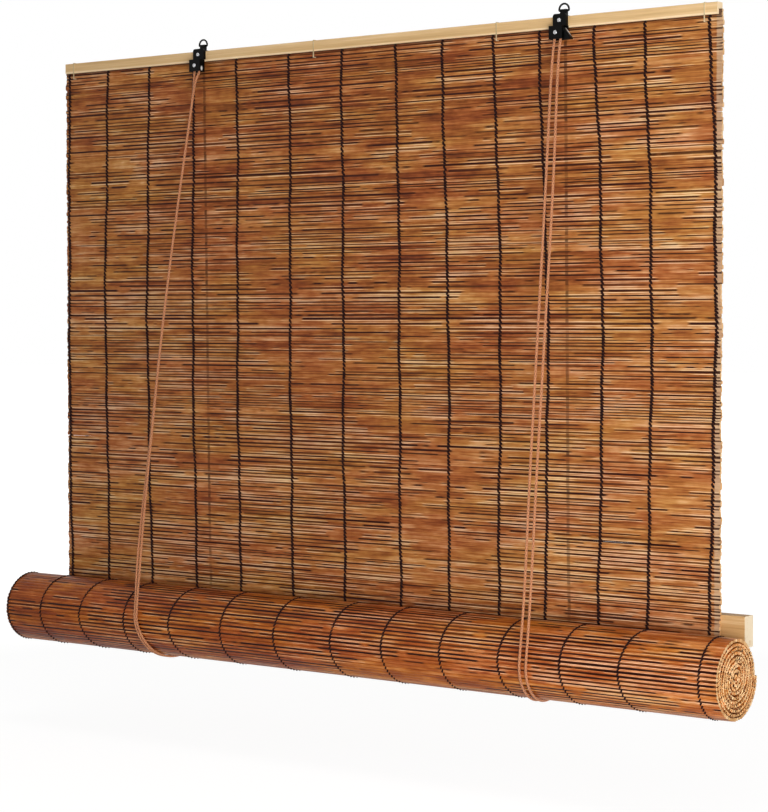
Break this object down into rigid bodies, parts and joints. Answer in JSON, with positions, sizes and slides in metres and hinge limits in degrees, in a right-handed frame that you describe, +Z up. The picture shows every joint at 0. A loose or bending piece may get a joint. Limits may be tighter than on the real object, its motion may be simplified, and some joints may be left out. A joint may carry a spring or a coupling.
{
  "type": "reed roll up blind",
  "caption": "Reed mat on a wooden head rail, part rolled up at the bottom and held in doubled cord loops that run over small black pulleys with hanging rings.",
  "frame": {"origin": "middle of the head rail's top face", "axes": "+X along the head rail to the right as seen from the room, -Y towards the room, +Z up"},
  "size_m": [1.083, 0.113, 0.7932],
  "materials": {
    "pine": "planed, unvarnished",
    "reed": "smoked natural reed",
    "string": "twisted black thread",
    "tie": "thin pale tie",
    "black_steel": "black enamel",
    "pulley_plastic": "moulded",
    "bright_steel": "bright zinc",
    "cord": "braided cord"
  },
  "bodies": {
    "head": {"head_rail": "pine", "reed_sheet": "reed", "sheet_strings": "string", "rail_ties": "tie", "left_saddle": "black_steel", "right_saddle": "black_steel", "left_pulley_cover": "black_steel", "right_pulley_cover": "black_steel", "pulley_rivets": "bright_steel", "saddle_screws": "bright_steel", "lock_rivet": "bright_steel", "left_cord_bend": "cord", "right_cord_bend": "cord", "left_front_cords": "cord", "right_front_cords": "cord", "left_back_cords": "cord", "right_back_cords": "cord", "cord_knots": "cord"},
    "cord_bights": {"left_cord_wraps": "cord", "right_cord_wraps": "cord", "rear_batten": "pine"},
    "roll": {"reed_roll": "reed", "roll_strings": "string"},
    "left_pulley": {"left_pulley": "pulley_plastic"},
    "right_pulley": {"right_pulley": "pulley_plastic"},
    "left_ring": {"left_ring": "black_steel"},
    "right_ring": {"right_ring": "black_steel"},
    "lock_lever": {"lock_lever": "black_steel"}
  },
  "joints": [
    {"name": "roll_lift", "type": "slide", "parent": "head", "child": "cord_bights", "axis": [0, 0, 1], "range_m": [0, 0.56], "deforming": ["reed_sheet", "sheet_strings", "left_front_cords", "right_front_cords", "left_back_cords", "right_back_cords"]},
    {"name": "roll_turn", "type": "hinge", "parent": "cord_bights", "child": "roll", "pos_m": [0, -0.0425, -0.7275], "axis": [1, 0, 0], "range_deg": [-756, 0]},
    {"name": "left_pulley_turn", "type": "hinge", "parent": "head", "child": "left_pulley", "pos_m": [-0.257, -0.0104, -0.0186], "axis": [0, 1, 0], "range_deg": [0, 15660]},
    {"name": "right_pulley_turn", "type": "hinge", "parent": "head", "child": "right_pulley", "pos_m": [0.296, -0.0104, -0.0186], "axis": [0, 1, 0], "range_deg": [0, 15660]},
    {"name": "left_ring_swing", "type": "hinge", "parent": "head", "child": "left_ring", "pos_m": [-0.255, 0, 0.007], "axis": [1, 0, 0], "range_deg": [-90, 90]},
    {"name": "right_ring_swing", "type": "hinge", "parent": "head", "child": "right_ring", "pos_m": [0.298, 0, 0.007], "axis": [1, 0, 0], "range_deg": [-90, 90]},
    {"name": "lock_lever_swing", "type": "hinge", "parent": "head", "child": "lock_lever", "pos_m": [0.3046, -0.0098, -0.0156], "axis": [0, 1, 0], "range_deg": [-30, 6]}
  ],
  "couplings": [
    {"joint": "roll_turn", "follows": "roll_lift", "rad_per_m": -23.529},
    {"joint": "left_pulley_turn", "follows": "roll_lift", "rad_per_m": 487.8},
    {"joint": "right_pulley_turn", "follows": "roll_lift", "rad_per_m": 487.8}
  ]
}
